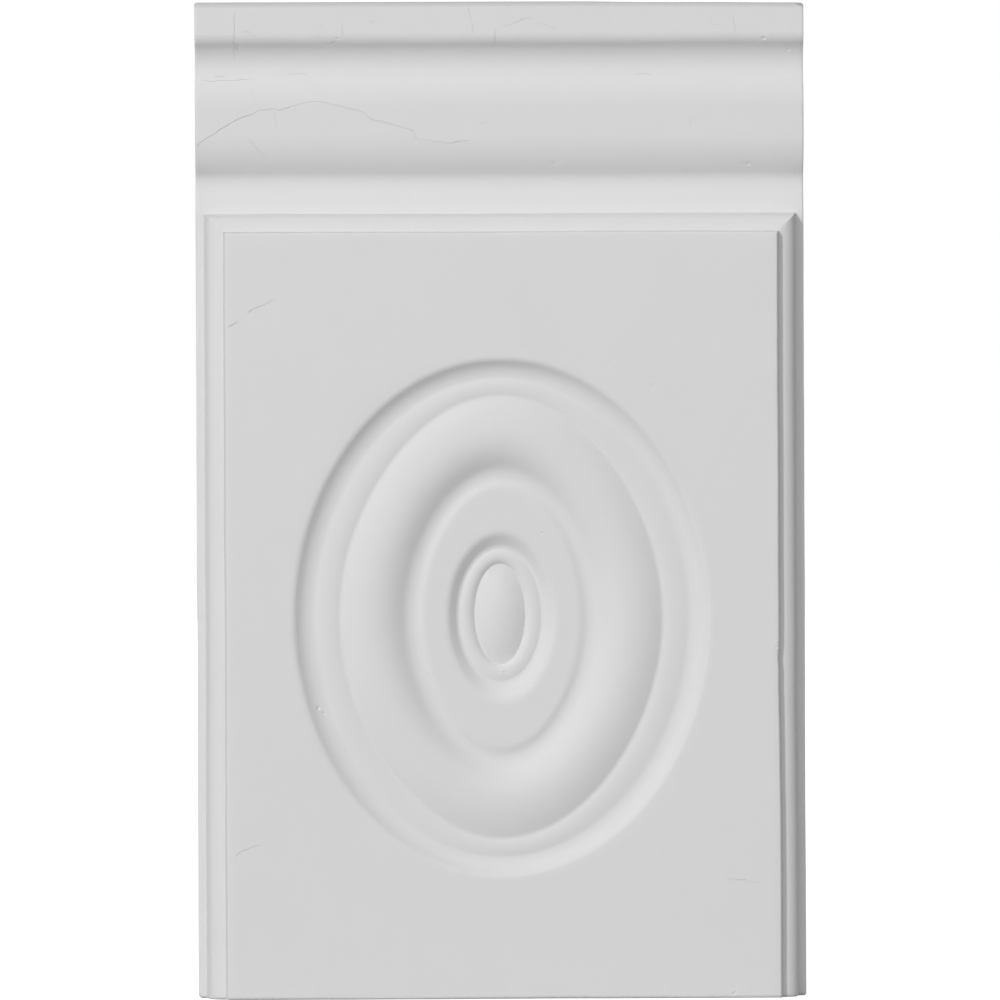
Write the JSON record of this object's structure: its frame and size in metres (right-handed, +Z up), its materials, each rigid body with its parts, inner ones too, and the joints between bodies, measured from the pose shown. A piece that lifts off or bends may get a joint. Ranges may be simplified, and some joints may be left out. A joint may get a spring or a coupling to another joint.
{
  "type": "plinth block",
  "caption": "Rectangular cast plinth block with a moulded cap, a framed raised panel and an oval bullseye of nested rings; stands on the floor as the foot of a door casing.",
  "frame": {"origin": "middle of the block's width and depth, on the floor at its base", "axes": "+Z up, +X to the right seen from the front, +Y back to the wall; the moulded front faces -Y"},
  "size_m": [0.1396, 0.0286, 0.2286],
  "materials": {
    "primer": "matte white primer over rigid cast foam, with hairline cracks and small pits"
  },
  "bodies": {
    "root": {"plinth_block": "primer"}
  },
  "joints": []
}
